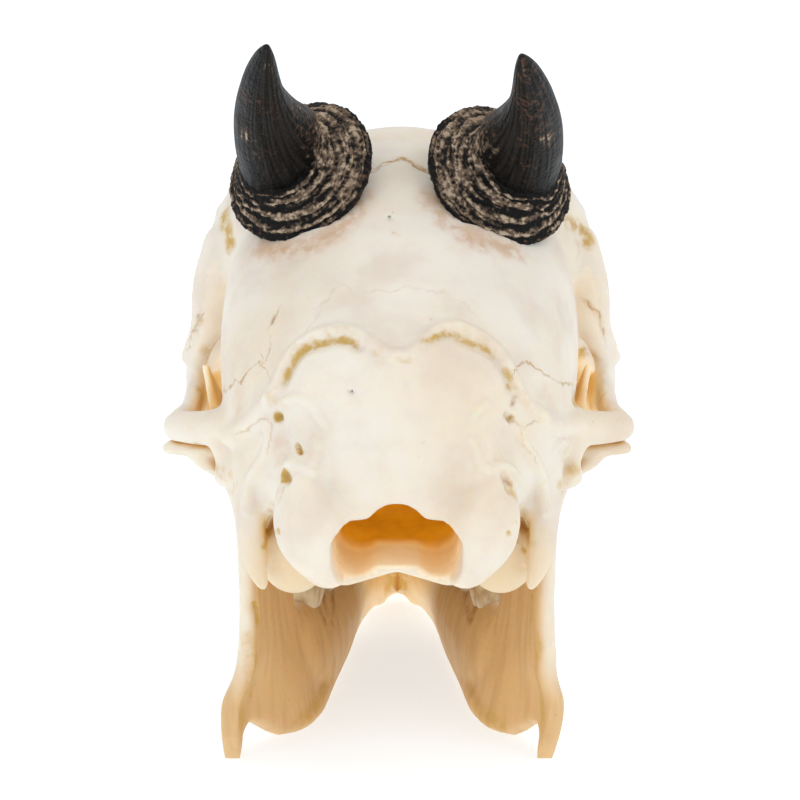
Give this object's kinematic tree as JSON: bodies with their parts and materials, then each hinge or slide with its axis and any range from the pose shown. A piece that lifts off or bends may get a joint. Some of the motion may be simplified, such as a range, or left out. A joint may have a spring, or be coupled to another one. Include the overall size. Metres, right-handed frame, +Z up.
{
  "type": "red duiker skull",
  "caption": "Cleaned cream skull of a small forest antelope with short black ringed horns, resting on its loose lower jaw.",
  "frame": {"origin": "centre of the bounding box's footprint, on the surface the jaw stands on", "axes": "+Z up, -Y toward the snout, +Y toward the nape, +X toward the animal's left side"},
  "size_m": [0.0698, 0.1519, 0.1115],
  "materials": {
    "bone": "satin",
    "jaw_bone": "satin",
    "tooth": "gloss",
    "horn": "matte"
  },
  "bodies": {
    "root": {"cranium": "bone", "mandible_left": "jaw_bone", "mandible_right": "jaw_bone", "horn_sheath_left": "horn", "horn_sheath_right": "horn", "upper_premolar_2_left": "tooth", "upper_premolar_3_left": "tooth", "upper_premolar_4_left": "tooth", "upper_molar_1_left": "tooth", "upper_molar_2_left": "tooth", "upper_molar_3_left": "tooth", "upper_premolar_2_right": "tooth", "upper_premolar_3_right": "tooth", "upper_premolar_4_right": "tooth", "upper_molar_1_right": "tooth", "upper_molar_2_right": "tooth", "upper_molar_3_right": "tooth", "lower_premolar_2_left": "tooth", "lower_premolar_3_left": "tooth", "lower_premolar_4_left": "tooth", "lower_molar_1_left": "tooth", "lower_molar_2_left": "tooth", "lower_molar_3_left": "tooth", "lower_premolar_2_right": "tooth", "lower_premolar_3_right": "tooth", "lower_premolar_4_right": "tooth", "lower_molar_1_right": "tooth", "lower_molar_2_right": "tooth", "lower_molar_3_right": "tooth", "incisor_1_left": "tooth", "incisor_2_left": "tooth", "incisor_3_left": "tooth", "canine_left": "tooth", "incisor_1_right": "tooth", "incisor_2_right": "tooth", "incisor_3_right": "tooth", "canine_right": "tooth"}
  },
  "joints": []
}
